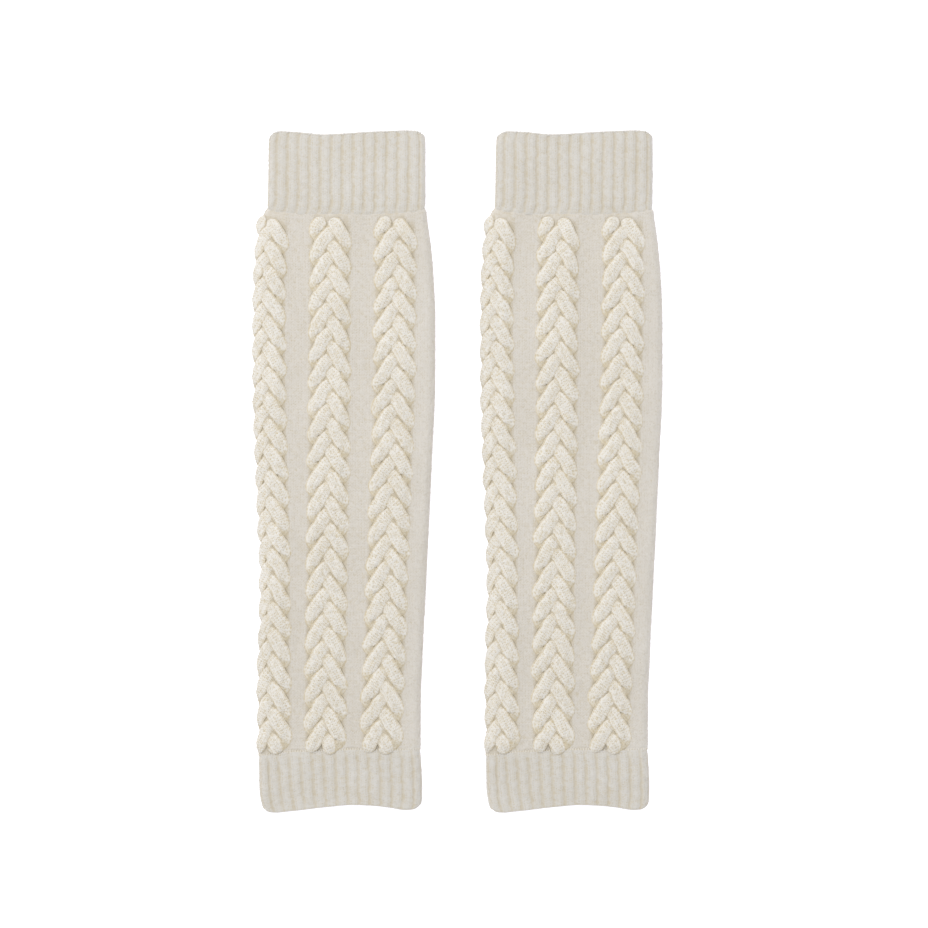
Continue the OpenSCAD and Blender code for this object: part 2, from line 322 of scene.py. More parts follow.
CREVICE_SHADE_TAN = srgb(203, 189, 157)
PALE_CREVICE_SHADE_TAN = srgb(194, 184, 163)
# painted light and shade: the one cream yarn is given a lighter crest colour on the raised plaits than on the ground,
# cuffs and linking rows
GROUND = wool("wool_ground", srgb(214, 210, 204), PALE_CREVICE_SHADE_TAN, 0.06, 0.55, 0.25, 0.92, (5.2, 1.7, 1.0), 0.00022, (0.955, 1.45), 0.42)
PLAIT = wool("wool_plait", srgb(236, 234, 230), CREVICE_SHADE_TAN, 0.07, 0.6, 0.3, 0.92, (5.4, 1.6, 1.0), 0.00025, (1.72, 1.50), 0.45)
RIBK = wool("wool_rib", srgb(210, 208, 204), PALE_CREVICE_SHADE_TAN, 0.06, 0.55, 0.25, 0.92, (4.8, 1.6, 1.0), 0.00022, (1.55, 1.45), 0.32)
LINK = wool("wool_linking", srgb(220, 216, 208), PALE_CREVICE_SHADE_TAN, 0.06, 0.55, 0.22, 0.92, (4.0, 2.5, 1.0), 0.00018, (1.2, 1.2), 0.25)


# ---------------------------------------------------------------- the ground panels
def knit_columns(nw, coarse):
    """Column places in wale units, with what each stands for: 0 between wales, 1 leg, 2 middle of the V, 3 plain."""
    u, kind = [], []
    for w in range(nw):
        if coarse(w + 0.5):
            u.append(w); kind.append(3)
        else:
            u += [w, w + 0.24, w + 0.5, w + 0.76]
            kind += [0, 1, 2, 1]
    u.append(nw); kind.append(0)
    return np.array(u, float), np.array(kind)


LEG = np.array([0.66, 1.0, 0.94])
MID = np.array([0.0, 0.62, 0.45])
GAP = np.array([0.30, 0.52, 0.42])


def front_panel(side, seed):
    rng = np.random.default_rng(int(100 + seed))
    nw, nc, per = 55, 204, 3
    rows = nc * per

    def coarse(w):
        # columns that stay under a plait for the glove's whole length
        g = w / nw * 2 - 1
        return (-0.98 < g < -0.66) or (-0.33 < g < 0.03) or (0.385 < g < 0.72)

    u, kind = knit_columns(nw, coarse)
    i = np.arange(rows + 1)[:, None] * 1.0
    frac = u - np.floor(u)
    frac[-1] = 0
    shift = 0.85 * np.abs(frac - 0.5) * per
    win = np.minimum(1, np.minimum(i, rows - i) / 4)
    t = (i + shift[None, :] * win) / (rows + shift.max() * 0)
    t = np.clip(t, 0, 1)
    y0 = Y_LOW + t * (Y_UP - Y_LOW)
    xl, xr = edges(y0)
    S = (xr - xl) / 2 - H / 2 + math.pi * H / 4
    s = (u[None, :] / nw * 2 - 1) * S
    x, _ = tube(y0, s, 0.0)
    fx = np.clip((x - xl) / (xr - xl), 0, 1)
    y = lower_join(fx) + t * (upper_join(fx) + 1.5 - lower_join(fx))
    ph = (np.arange(rows + 1) % per)
    h = np.zeros((rows + 1, len(u)))
    for kcode, prof in ((0, GAP), (1, LEG), (2, MID)):
        h[:, kind == kcode] = prof[ph][:, None]
    h[:, kind == 3] = 0.3
    course = np.arange(rows + 1) // per
    wale = np.floor(u).astype(int)
    jig = rng.normal(0, 1, (course.max() + 2, wale.max() + 2))
    h = np.clip(h * (1 + 0.18 * jig[course][:, wale]), 0, 1.2)
    relief = 0.42
    n = -relief * (1 - h)
    # the ground sinks a little between the plaits, and its right band swells
    xc = x
    d_edge = np.abs(xc - LINES["edge_plait"](y0)); d_mid = np.abs(xc - LINES["centre_plait"](y0)); d_band = np.abs(xc - LINES["band_plait"](y0))
    near = np.minimum(np.minimum(d_edge, d_mid), d_band)
    between = smooth(9.5, 16, near) * (xc < LINES["band_plait"](y0))
    n = n - 0.55 * between
    swell = smooth(10.5, 17, d_band) * (xc > LINES["band_plait"](y0))
    n = n + 0.25 * swell + 1.5 * smooth(8.8, 4.5, near) * smooth(139, 132, y0) * smooth(-155, -148, y0)
    # ends run in under the linking rows
    n = n - 0.75 * smooth(2.0, 0.0, (1 - t) * 299) - 0.4 * smooth(2.0, 0.0, t * 299)
    x, z = tube(y, s, n)
    x, y, z = warp(x, y, z, seed)
    outer = np.stack([x, y, z], -1)
    step = 12
    ri = np.arange(0, rows + 1, step)
    yi, si = y0[ri], s[ri]
    fxi = fx[ri]
    yy = lower_join(fxi) + t[ri] * (upper_join(fxi) + 1.5 - lower_join(fxi))
    xi, zi = tube(yy, si, -PANEL_T + 0.0 * si)
    # the inner face stays above the middle of the section, so that the panel meets the back one
    xi, yi, zi = warp(xi, yy, zi, seed)
    inner = np.stack([xi, yi, zi], -1)
    ncol = len(u)
    base = (rows + 1) * ncol
    v = np.concatenate([outer.reshape(-1, 3), inner.reshape(-1, 3)])
    q = [quads(rows + 1, ncol), base + quads(len(ri), ncol)[:, ::-1]]
    j = np.arange(ncol - 1)
    q.append(np.stack([j + 1, j, base + j, base + j + 1], -1))
    top, itop = rows * ncol, base + (len(ri) - 1) * ncol
    q.append(np.stack([top + j, top + j + 1, itop + j + 1, itop + j], -1))
    tri = []
    for col, flip in ((0, False), (ncol - 1, True)):
        for r in range(len(ri) - 1):
            o = [(r * step + k) * ncol + col for k in range(step + 1)]
            a, b = base + r * ncol + col, base + (r + 1) * ncol + col
            for k in range(step):
                hub = a if k < step // 2 else b
                f = [o[k], o[k + 1], hub]
                tri.append(f[::-1] if flip else f)
            f = [o[step // 2], b, a]
            tri.append(f[::-1] if flip else f)
    # painted shade: darker between the stitch legs with a random strength per stitch, under the plaits and close beside
    # them, lighter where the right band swells; the inside face is evenly shaded
    cavity_shade = np.zeros(len(v))
    shade_dots = 1 + 0.30 * np.clip(rng.normal(0, 1, jig.shape), -2, 2)[course][:, wale]
    c = 0.72 * np.clip(1 - h, 0, 1) ** 1.5 * np.clip(shade_dots, 0.2, 2)
    c = c + 0.72 * smooth(12.0, 9.4, near) * smooth(139.5, 133, y0) * smooth(-156, -149, y0)
    c = c * (1 - 0.5 * swell)
    cavity_shade[:base] = c.ravel()
    cavity_shade[base:] = 0.25
    kn = np.zeros((len(v), 3))
    kn[:base, 0] = np.broadcast_to(u * WALE, (rows + 1, ncol)).ravel()
    kn[:base, 1] = np.broadcast_to(i / per * COURSE, (rows + 1, ncol)).ravel()
    kn[base:, 0] = np.broadcast_to(u * WALE, (len(ri), ncol)).ravel()
    kn[base:, 1] = np.broadcast_to(ri[:, None] / per * COURSE, (len(ri), ncol)).ravel()
    kn[:, 2] = seed * 7.0
    v[:, 0] += CX[side]
    return build(side + "_front_knit", v, np.concatenate(q), tri, cavity_shade, kn, GROUND)


def back_panel(side, seed):
    rng = np.random.default_rng(int(200 + seed))
    nw, nc, per = 55, 204, 2
    rows = nc * per
    u = np.arange(0, nw * 2 + 1) / 2.0
    i = np.arange(rows + 1)[:, None] * 1.0
    frac = u - np.floor(u)
    shift = np.where(frac > 0, 0.0, 0.45) * per
    win = np.minimum(1, np.minimum(i, rows - i) / 4)
    t = np.clip((i + shift[None, :] * win) / rows, 0, 1)
    y0 = Y_LOW + t * (Y_UP - Y_LOW)
    xl, xr = edges(y0)
    S = (xr - xl) / 2 - H / 2 + math.pi * H / 4
    s = (u[None, :] / nw * 2 - 1) * S
    x, _ = tube(y0, s, 0.0)
    fx = np.clip((x - xl) / (xr - xl), 0, 1)
    y = lower_join(fx) + t * (upper_join(fx) - lower_join(fx))
    h = np.where(frac[None, :] > 0, np.array([1.0, 0.55])[np.arange(rows + 1) % 2][:, None], np.array([0.0, 0.25])[np.arange(rows + 1) % 2][:, None])
    h = h * (1 + 0.1 * rng.normal(0, 1, h.shape))
    n = -0.28 * (1 - h)
    x, z = tube(y, s, n)
    z = H - z
    x, y, z = warp(x, y, z, seed)
    outer = np.stack([x, y, z], -1)
    step = 12
    ri = np.arange(0, rows + 1, step)
    yy = (lower_join(fx) + t * (upper_join(fx) - lower_join(fx)))[ri]
    xi, zi = tube(yy, s[ri], -PANEL_T + 0.0 * s[ri])
    zi = H - zi
    xi, yi, zi = warp(xi, yy, zi, seed)
    inner = np.stack([xi, yi, zi], -1)
    ncol = len(u)
    base = (rows + 1) * ncol
    v = np.concatenate([outer.reshape(-1, 3), inner.reshape(-1, 3)])
    q = [quads(rows + 1, ncol), base + quads(len(ri), ncol)[:, ::-1]]
    j = np.arange(ncol - 1)
    q.append(np.stack([j + 1, j, base + j, base + j + 1], -1))
    top, itop = rows * ncol, base + (len(ri) - 1) * ncol
    q.append(np.stack([top + j, top + j + 1, itop + j + 1, itop + j], -1))
    tri = []
    for col, flip in ((0, False), (ncol - 1, True)):
        for r in range(len(ri) - 1):
            o = [(r * step + k) * ncol + col for k in range(step + 1)]
            a, b = base + r * ncol + col, base + (r + 1) * ncol + col
            for k in range(step):
                hub = a if k < step // 2 else b
                f = [o[k], o[k + 1], hub]
                tri.append(f[::-1] if flip else f)
            f = [o[step // 2], b, a]
            tri.append(f[::-1] if flip else f)
    # painted shade in the hollows between stitches; the inside face is evenly shaded
    cavity_shade = np.zeros(len(v))
    cavity_shade[:base] = (0.42 * (1 - h)).ravel()
    cavity_shade[base:] = 0.25
    kn = np.zeros((len(v), 3))
    kn[:base, 0] = np.broadcast_to(u * WALE, (rows + 1, ncol)).ravel()
    kn[:base, 1] = np.broadcast_to(i / per * COURSE, (rows + 1, ncol)).ravel()
    kn[base:, 0] = np.broadcast_to(u * WALE, (len(ri), ncol)).ravel()
    kn[base:, 1] = np.broadcast_to(ri[:, None] / per * COURSE, (len(ri), ncol)).ravel()
    kn[:, 2] = 40 + seed * 7.0
    v[:, 0] += CX[side]
    return build(side + "_back_knit", v, np.concatenate(q), tri, cavity_shade, kn, GROUND)


# ---------------------------------------------------------------- the plaits
T0 = 42.6            # one strand's full swing at mid length
PITCH = hermite([(-156, 44.3), (-60, 43.9), (30, 42.9), (143, 41.5)])
PHASE = {"edge_plait": 0.0, "centre_plait": 0.0, "band_plait": 0.0}
AMP = {"edge_plait": 8.3, "centre_plait": 8.4, "band_plait": 8.6}
TOP_END = {"edge_plait": 141.6, "centre_plait": 140.8, "band_plait": 141.2}
STRAND_W = 8.45
APEX_Y = 138.2       # a right-hand lobe of the centre plait goes under here
APEX_R = 0.62        # and this is how far through its half swing it is then


# Half a swing, from one side of the plait to the other: a long lean on top of the
# neighbours, from the outer side in to the middle, then a quick dive under them.
SWING = hermite([(0, 1.0), (0.07, 0.985), (0.18, 0.875), (0.35, 0.605), (0.50, 0.37), (0.62, 0.18), (0.71, -0.09), (0.82, -0.58), (0.91, -0.89), (1.0, -1.0)])
LIFT = hermite([(0, 0.10), (0.07, 0.50), (0.17, 0.90), (0.32, 1.0), (0.48, 0.95), (0.59, 0.62), (0.67, 0.02), (0.76, -0.65), (0.88, -0.85), (0.95, -0.45), (1.0, 0.10)])
# a lobe narrows to a round end as it goes under
NARROW = hermite([(0, 0.98), (0.10, 1.0), (0.52, 1.0), (0.64, 1.0), (0.73, 0.95), (0.82, 0.86), (0.92, 0.88), (1.0, 0.98)])


def swing(turns):
    """Place across the plait, from -1 to 1, after so many half swings, and height, from -1 to 1."""
    k = np.floor(turns)
    r = turns - k
    return np.where(k % 2 == 0, 1.0, -1.0) * SWING(r), LIFT(r)


def ease(v, step, window):
    """A running mean over window millimetres."""
    m = max(1, int(window / step / 2))
    kern = np.hanning(2 * m + 3)[1:-1]
    kern /= kern.sum()
    pad = np.concatenate([np.full(len(kern) // 2, v[0]), v, np.full(len(kern) // 2, v[-1])])
    return np.convolve(pad, kern, "valid")


def strand(plait, k, side, seed):
    rng = np.random.default_rng(int(300 + seed * 17 + k * 5 + len(plait)))
    yy = np.linspace(-156.2, TOP_END[plait], 6001)
    step = yy[1] - yy[0]
    w = 2 / PITCH(yy)
    cum = np.concatenate([[0], np.cumsum((w[1:] + w[:-1]) / 2 * np.diff(yy))])
    at = np.interp(APEX_Y + PHASE[plait], yy, cum)
    turns = cum - at + APEX_R + 2 * k / 3 + 10
    # a strand stops where its last lobe goes under, rather than with a stub beside the join
    r_end = turns[-1] % 1
    cut = r_end - 0.70 if r_end > 0.70 else (r_end + 0.17 if r_end < 0.30 else 0)
    y_stop = np.interp(turns[-1] - cut, turns, yy)
    new = np.linspace(yy[0], y_stop, 6001)
    turns = np.interp(new, yy, turns)
    yy, step = new, new[1] - new[0]
    sw, over = swing(turns)
    slim = NARROW(turns - np.floor(turns))
    amp = AMP[plait] * (1 - 0.10 * smooth(-150, -156, yy))
    a1, a2, a3 = rng.uniform(0, 6.28, 3)
    wob = 0.22 * np.sin(yy * 0.47 + a1) + 0.18 * np.sin(yy * 0.29 + a2) + 0.14 * np.sin(yy * 0.83 + a3)
    sx = LINES[plait](yy) + amp * ease(sw, step, 3.0) + wob
    over = ease(over, step, 1.5)
    ds = ease(np.gradient(sx, yy), step, 9.0)
    ell = np.concatenate([[0], np.cumsum(np.hypot(np.diff(sx), np.diff(yy)))])
    total = ell[-1]
    per = 3
    nc = int(round(total / P_COURSE))
    rows = nc * per
    wales = 5
    u = np.concatenate([[w_, w_ + 0.24, w_ + 0.5, w_ + 0.76] for w_ in range(wales)] + [[wales]])
    kind = np.array([0, 1, 2, 1] * wales + [0])
    frac = u - np.floor(u)
    i = np.arange(rows + 1)[:, None] * 1.0
    win = np.minimum(1, np.minimum(i, rows - i) / 4)
    shift = 0.85 * np.abs(frac - 0.5) * per
    nb = 7
    ub = wales - np.arange(1, nb + 1) / (nb + 1) * wales
    u_all = np.concatenate([u, ub])
    sh_all = np.concatenate([shift, np.full(nb, shift[0])])
    d = np.clip((i + sh_all[None, :] * win) / rows, 0, 1) * total
    yc = np.interp(d, ell, yy)
    xc = np.interp(d, ell, sx)
    ov = np.interp(d, ell, over)
    nar = np.interp(d, ell, slim)
    sl = np.interp(d, ell, ds)
    cosd = 1 / np.sqrt(1 + sl * sl)
    wx, wy = cosd, -sl * cosd          # across the strand
    # round ends, low where they leave the cloth
    e_lo, e_hi = d / 5.2, (total - d) / 4.4
    end = np.clip(np.minimum(e_lo, e_hi), 0, 1)
    rnd = np.sqrt(np.clip(1 - (1 - end) ** 2, 0, 1))
    rnd = np.maximum(rnd, 0.12)
    settle = smooth(0, 9, np.minimum(d, total - d))
    ov = ov * settle + (1 - settle) * (0.15)
    width = STRAND_W * (1 + 0.03 * np.sin(d * 0.21 + k * 2 + seed)) * nar * rnd
    g = (u_all / wales * 2 - 1)[None, :]
    topside = np.zeros(len(u_all), bool); topside[: len(u)] = True
    arch = np.clip(1 - np.abs(g) ** 2.0, 0, 1) ** 0.84
    crown = (2.35 + 0.20 * ov + 0.12 * np.sin(d * 0.33 + a2)) * rnd
    base = -0.45 + 0.98 * (1 + ov) * (0.35 + 0.65 * rnd)
    prof = np.where(topside[None, :], crown * arch, -0.55 * np.clip(1 - np.abs(g) ** 2, 0, 1) * rnd)
    # stitches
    ph = np.arange(rows + 1) % per
    h = np.zeros((rows + 1, len(u_all)))
    for kcode, pr in ((0, GAP), (1, LEG), (2, MID)):
        sel = np.where(kind == kcode)[0]
        h[:, sel] = pr[ph][:, None]
    course = np.arange(rows + 1) // per
    wale = np.minimum(np.floor(u_all).astype(int), wales - 1)
    jig = rng.normal(0, 1, (course.max() + 2, wales + 1))
    jg = jig[course][:, wale]
    h = np.clip(h * (1 + 0.12 * jg), 0, 1.25)
    relief = 0.80 * rnd
    grow = np.where(topside[None, :], -relief * (1 - h) * (0.35 + 0.65 * arch), 0)
    # wales bulge a little across the strand
    half = width / 2
    xx = xc + wx * g * half
    yv = yc + wy * g * half
    flank = smooth(5.8, 12.6, np.abs(xx - LINES[plait](yv)))
    base = base * (1 - 0.80 * flank) - 0.55 * flank
    prof = np.where(topside[None, :], prof * (1 - 0.15 * flank) - 0.35 * flank * np.abs(g) ** 4, prof)
    n = base + prof + grow
    # sides of the strand tuck in below its widest line
    xl, xr = edges(yv)
    c = (xl + xr) / 2
    X, Z = tube(yv, xx - c, n, H, 6.3)
    X, Y, Z = warp(X, yv, Z, seed)
    v = np.stack([X, Y, Z], -1)
    ncol = len(u_all)
    q = quads(rows + 1, ncol, False, True)
    v = v.reshape(-1, 3)
    caps = []
    for r0, flip in ((0, True), (rows, False)):
        hub = len(v)
        v = np.concatenate([v, v[r0 * ncol:(r0 + 1) * ncol].mean(0)[None]])
        jj = np.arange(ncol)
        f = np.stack([r0 * ncol + jj, r0 * ncol + (jj + 1) % ncol, np.full(ncol, hub)], -1)
        caps.append(f[:, ::-1] if flip else f)
    # painted shade: darker between the stitch legs with a random strength per stitch, along both sides of each strand,
    # where it dives under the others, and evenly over its underside
    side_shade = smooth(0.66, 1.0, np.abs(g)) * np.ones_like(h)
    under_shade = smooth(0.25, -0.9, ov)
    valley_shade_jitter = 1 + 0.35 * np.clip(rng.normal(0, 1, jig.shape), -2, 2)[course][:, wale]
    strand_shade = 0.98 * np.clip(1 - h, 0, 1) ** 1.5 * np.clip(valley_shade_jitter, 0.2, 2) + 0.56 * side_shade + 0.55 * under_shade
    strand_shade = np.where(topside[None, :], strand_shade, 0.6)
    strand_shade = np.concatenate([strand_shade.ravel(), [0.5, 0.5]])
    kn = np.zeros((len(v), 3))
    kn[:-2, 0] = np.broadcast_to(u_all * P_WALE, (rows + 1, ncol)).ravel()
    kn[:-2, 1] = np.broadcast_to(d, (rows + 1, ncol)).ravel()
    kn[:, 2] = 11 * k + seed * 5
    return v, q, np.concatenate(caps), strand_shade, kn


def plait(side, name, seed):
    V, Q, TR, C, K = [], [], [], [], []
    off = 0
    for k in range(3):
        v, q, t, c, kn = strand(name, k, side, seed)
        V.append(v); Q.append(q + off); TR.append(t + off); C.append(c); K.append(kn)
        off += len(v)
    v = np.concatenate(V)
    v[:, 0] += CX[side]
    return build(side + "_" + name + "_strands", v, np.concatenate(Q), np.concatenate(TR), np.concatenate(C), np.concatenate(K), PLAIT)


# ---------------------------------------------------------------- ribbed cuffs
RIB_F = np.array([0.0, 0.07, 0.15, 0.23, 0.31, 0.40, 0.5, 0.60, 0.69, 0.77, 0.85, 0.93])
RIB_KIND = np.array([0, 0, 0, 1, 2, 1, 0, 1, 2, 1, 0, 0])
RIB_C = np.array([0.31, 0.31, 0.31, 0.31, 0.31, 0.31, 0.31, 0.69, 0.69, 0.69, 0.69, 0.69])


def cuff(side, upper, seed):
    rng = np.random.default_rng(int(500 + seed * 3 + upper))
    top = H_CUFF
    r = top / 2
    first = -36.3 if upper else -39.7
    n_front = 15
    y_mid = 165 if upper else -172
    xl, xr = [float(a) for a in edges(np.array(float(y_mid)))]
    c = (xl + xr) / 2
    f = (xr - xl) / 2 - r
    P = 4 * f + 2 * math.pi * r
    s0 = first - c - (RIB if upper else 0)        # a groove near the left side
    left_over = P - n_front * RIB
    n_back = int(round(left_over / 6.3))
    ribs = n_front + n_back
    g = (np.arange(ribs)[:, None] + RIB_F[None, :]).ravel()
    kind = np.tile(RIB_KIND, ribs)
    cen = np.tile(RIB_C, ribs)
    ff = np.tile(RIB_F, ribs)
    s = np.where(g <= n_front, s0 + g * RIB, s0 + n_front * RIB + (g - n_front) * left_over / n_back)
    s = np.where(s > P / 2, s - P, s)
    per = 3
    n_course = 31 if upper else 23
    rows = n_course * per
    # list of rows: t along the cuff from the join to the free edge, depth into the cloth, how much relief
    tt = list(np.arange(rows + 1) / rows)
    dep = [0.0] * (rows + 1)
    fine = [1.0] * (rows + 1)
    free = 1.0
    lip = []
    for a in (25, 50, 75, 90, 105, 130, 155):
        A = math.radians(a)
        lip.append((A, 1.0 - math.cos(A)))
    length = 44.5 if upper else 32.0
    rad = CUFF_T / 2
    n_lip = len(lip)
    for A, dd in lip:
        tt.append(1 + math.sin(A) * rad / length)
        dep.append(rad * dd)
        fine.append(max(0.0, math.cos(A)) * 0.5)
    n_in = 11
    for k in range(n_in + 1):
        tt.append(1 - k / n_in)
        dep.append(CUFF_T)
        fine.append(0.0)
    tt, dep, fine = np.array(tt)[:, None], np.array(dep)[:, None], np.array(fine)[:, None]
    nr, ncol = len(tt), len(g)
    # rows follow the V of each stitch
    shift = 0.5 * np.abs(ff - cen) / 0.19
    shift = np.clip(shift, 0, 0.55)
    isout = (np.arange(nr) <= rows)[:, None]
    idx = np.arange(nr)[:, None]
    win = np.where(isout, np.minimum(1, np.minimum(idx, rows - idx) / 4), 0)
    sgn = 1 if upper else -1
    tv = tt + np.where(isout, sgn * shift[None, :] * win / n_course, 0)
    tv = np.clip(tv, 0, 1.2)
    # where the section's x lies, for the edges' curves
    x_mid, z_mid = tube(np.full_like(s, y_mid), s, 0.0, top)
    fx = np.clip((x_mid - xl) / (xr - xl), 0, 1)[None, :]
    back = smooth(r * 1.1, r * 0.6, z_mid)[None, :]
    if upper:
        ya, yb = upper_join(fx) - 0.6, upper_edge(fx) - rad - 0.9 * back
    else:
        ya, yb = lower_join(fx) + 0.2, lower_edge(fx) + rad + 0.9 * back
    y = ya + tv * (yb - ya)
    # the section scales with the glove's width, and the lower cuff's ribs lean on its left
    exl, exr = edges(y)
    scale = ((exr - exl) / 2 - r + math.pi * r / 2) / (f + math.pi * r / 2)
    sc = s[None, :] * scale
    if not upper:
        front = (z_mid > r)[None, :]
        sc = sc - 2.6 * (1 - np.clip(tv, 0, 1)) ** 1.0 * np.clip(1 - fx * 1.9, 0, 1) * front * smooth(0.0, 0.20, fx)
    else:
        sc = sc + 0.5 * np.sin(tv * 3.0 + fx * 5) * 0.5
    ck, rk = np.arange(nr)[:, None] / per, np.floor(g + 0.5)[None, :]
    sc = sc + np.where(isout, 0.13 * np.sin(ck * 1.25 + rk * 2.3) + 0.11 * np.sin(ck * 0.53 + rk * 5.1), 0) * np.minimum(1, win + 0.0)
    fade_in = smooth(0, 4.2 if upper else 6.5, tv * length)
    depth = (0.58 if upper else 0.60) * (0.25 + 0.75 * fade_in) * (0.72 + 0.28 * smooth(0, 6, (1 - tv) * length))
    rib = -(1 - np.sin(math.pi * ff) ** 0.85)[None, :] * depth * 1.5
    ph = np.arange(nr) % per
    h = np.zeros((nr, ncol))
    for kcode, pr in ((0, GAP), (1, LEG), (2, MID)):
        h[:, kind == kcode] = pr[ph][:, None]
    course = np.arange(nr) // per
    jig = rng.normal(0, 1, (course.max() + 2, ribs * 2 + 2))
    wl = np.floor(g * 2).astype(int)
    h = h * (1 + 0.14 * jig[course][:, wl])
    n = np.where(isout, rib - 0.46 * (1 - h) * fine, 0)
    n = np.where(isout, n, -dep + rib * np.clip(1 - dep / CUFF_T * 1.25, -0.25, 1))
    # the join end drops towards the panel
    n = n - (0.6 * smooth(6.0, 0.5, np.clip(tv, 0, 1) * length) + 0.65 * smooth(1.8, 0.0, np.clip(tv, 0, 1) * length) if upper
             else 0.35 * smooth(4.0, 0.0, np.clip(tv, 0, 1) * length)) * np.where(isout, 1, 0.3)
    # ribs vary a little
    amp = rng.normal(0, 1, ribs + 1)
    n = n + np.where(isout, 0.06 * amp[np.floor(g).astype(int)][None, :] * np.sin(math.pi * ff)[None, :], 0)
    x, z = tube(y, sc, n, top)
    x, y, z = warp(x, y, z, seed)
    v = np.stack([x, y, z], -1).reshape(-1, 3)
    v[:, 0] += CX[side]
    q = quads(nr, ncol, True, True)
    # painted shade: darker between the stitch legs with a random strength per stitch and in the rib grooves; the
    # turned-in inner face is evenly shaded, a little more in its grooves
    groove_shade = (1 - np.sin(math.pi * ff))[None, :] ** 1.4
    shade_spot = np.clip(1 + 0.35 * np.clip(rng.normal(0, 1, jig.shape), -2, 2)[course][:, wl], 0.2, 2)
    cavity_shade = np.where(isout, 0.62 * np.clip(1 - h, 0, 1) ** 1.4 * shade_spot + 0.42 * groove_shade * (0.3 + 0.7 * fade_in), 0.22 + 0.3 * groove_shade)
    kn = np.zeros((len(v), 3))
    kn[:, 0] = np.broadcast_to(g * RIB, (nr, ncol)).ravel()
    kn[:, 1] = np.broadcast_to(np.arange(nr)[:, None] / per * COURSE, (nr, ncol)).ravel()
    kn[:, 2] = 70 + seed * 7.0
    return build(side + ("_upper" if upper else "_lower") + "_rib", v, q, None, cavity_shade, kn, RIBK)


def hem_facing(side, seed):
    """The hem's inner layer, the width of the mouth, lying inside the lower cuff."""
    top = H_CUFF
    r = top / 2
    ribs = 58
    per = 4
    g = np.arange(ribs * per) / per
    ff = g - np.floor(g)
    y_mid = -172.0
    xl, xr = [float(a) for a in edges(np.array(y_mid))]
    f = (xr - xl) / 2 - r
    P = 4 * f + 2 * math.pi * r
    s = (g / ribs - 0.5) * P
    x_mid, z_mid = tube(np.full_like(s, y_mid), s, 0.0, top)
    fx = np.clip((x_mid - xl) / (xr - xl), 0, 1)[None, :]
    n_c = 16
    tt = np.concatenate([np.linspace(0, 1, n_c * 2 + 1), [1.02, 1.02], np.linspace(1, 0, 9), [-0.02, -0.02]])[:, None]
    out = np.concatenate([np.zeros(n_c * 2 + 1), [0.15, 0.75], np.full(9, 0.9), [0.75, 0.15]])[:, None]
    isin = np.concatenate([np.ones(n_c * 2 + 1), np.zeros(13)])[:, None]
    ya, yb = lower_edge(fx) + 2.4, lower_join(fx) - 9.0
    y = ya + tt * (yb - ya)
    bump = 0.16 * np.sin(2 * math.pi * ff)[None, :] * np.sin(math.pi * np.arange(len(tt))[:, None] / 2 + 0.4)
    n = -(CUFF_T + 0.95) + out * 0.9 + bump * isin - 0.0
    exl, exr = edges(y)
    scale = ((exr - exl) / 2 - r + math.pi * r / 2) / (f + math.pi * r / 2)
    x, z = tube(y, s[None, :] * scale, n, top)
    x, y, z = warp(x, y, z, seed)
    v = np.stack([x, y, z], -1).reshape(-1, 3)
    v[:, 0] += CX[side]
    q = quads(len(tt), len(g), True, True)
    # painted shade over the inner layer, deeper where its small ribs bulge and dip
    cavity_shade = np.broadcast_to(0.3 + 0.8 * np.abs(bump), (len(tt), len(g))).ravel()
    kn = np.zeros((len(v), 3))
    kn[:, 0] = np.broadcast_to(g * 3.2, (len(tt), len(g))).ravel()
    kn[:, 1] = np.broadcast_to(tt * 20, (len(tt), len(g))).ravel()
    return build(side + "_hem_band", v, q, None, cavity_shade, kn, RIBK)


# ---------------------------------------------------------------- rows of linking and binding loops
def bead(nu=10, nv=7):
    """A unit ellipsoid's points and faces, poles on X."""
    v, q, t = [], [], []
    for i in range(1, nv):
        a = math.pi * i / nv
        for j in range(nu):
            b = 2 * math.pi * j / nu
            v.append((math.cos(a), math.sin(a) * math.cos(b), math.sin(a) * math.sin(b)))
    v.append((1, 0, 0)); v.append((-1, 0, 0))
    for i in range(nv - 2):
        for j in range(nu):
            q.append((i * nu + j, i * nu + (j + 1) % nu, (i + 1) * nu + (j + 1) % nu, (i + 1) * nu + j))
    for j in range(nu):
        t.append((len(v) - 2, (j + 1) % nu, j))
        t.append((len(v) - 1, (nv - 2) * nu + j, (nv - 2) * nu + (j + 1) % nu))
    return np.array(v), np.array(q), np.array(t)


